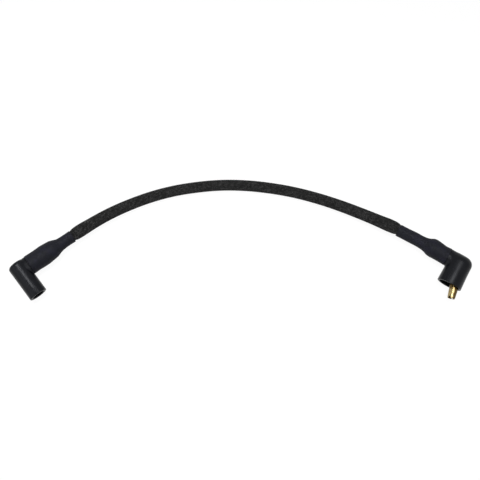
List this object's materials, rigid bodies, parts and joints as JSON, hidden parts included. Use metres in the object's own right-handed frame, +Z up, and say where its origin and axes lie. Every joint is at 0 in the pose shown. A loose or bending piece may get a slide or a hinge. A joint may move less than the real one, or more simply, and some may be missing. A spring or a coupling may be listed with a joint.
{
  "type": "ignition coil wire",
  "caption": "Curved braided high-tension ignition lead with a moulded right-angle rubber boot, shrink tube and brass terminal at each end.",
  "frame": {"origin": "on the table under the middle of the two ends: the bottom centre of the box round both boots, shrink tubes and terminals", "axes": "+X from the slim boot to the wide one, +Y to the outside of the lead's bend, +Z up from the table it lies on"},
  "size_m": [0.3876, 0.1036, 0.0214],
  "materials": {
    "boot_rubber": "smooth semi-gloss moulded rubber",
    "shrink_tube": "satin polyolefin shrink film",
    "braid": "matte woven braid",
    "insulation": "matte extruded jacket",
    "conductor": "tinned stranded copper",
    "terminal_brass": "stamped and rolled sheet brass",
    "spring_steel": "drawn spring wire"
  },
  "bodies": {
    "root": {"left_boot": "boot_rubber", "right_boot": "boot_rubber", "left_heat_shrink": "shrink_tube", "right_heat_shrink": "shrink_tube", "braided_sleeve": "braid", "wire_insulation": "insulation", "conductor_core": "conductor", "left_terminal": "terminal_brass", "right_terminal": "terminal_brass", "left_terminal_spring": "spring_steel"}
  },
  "joints": []
}
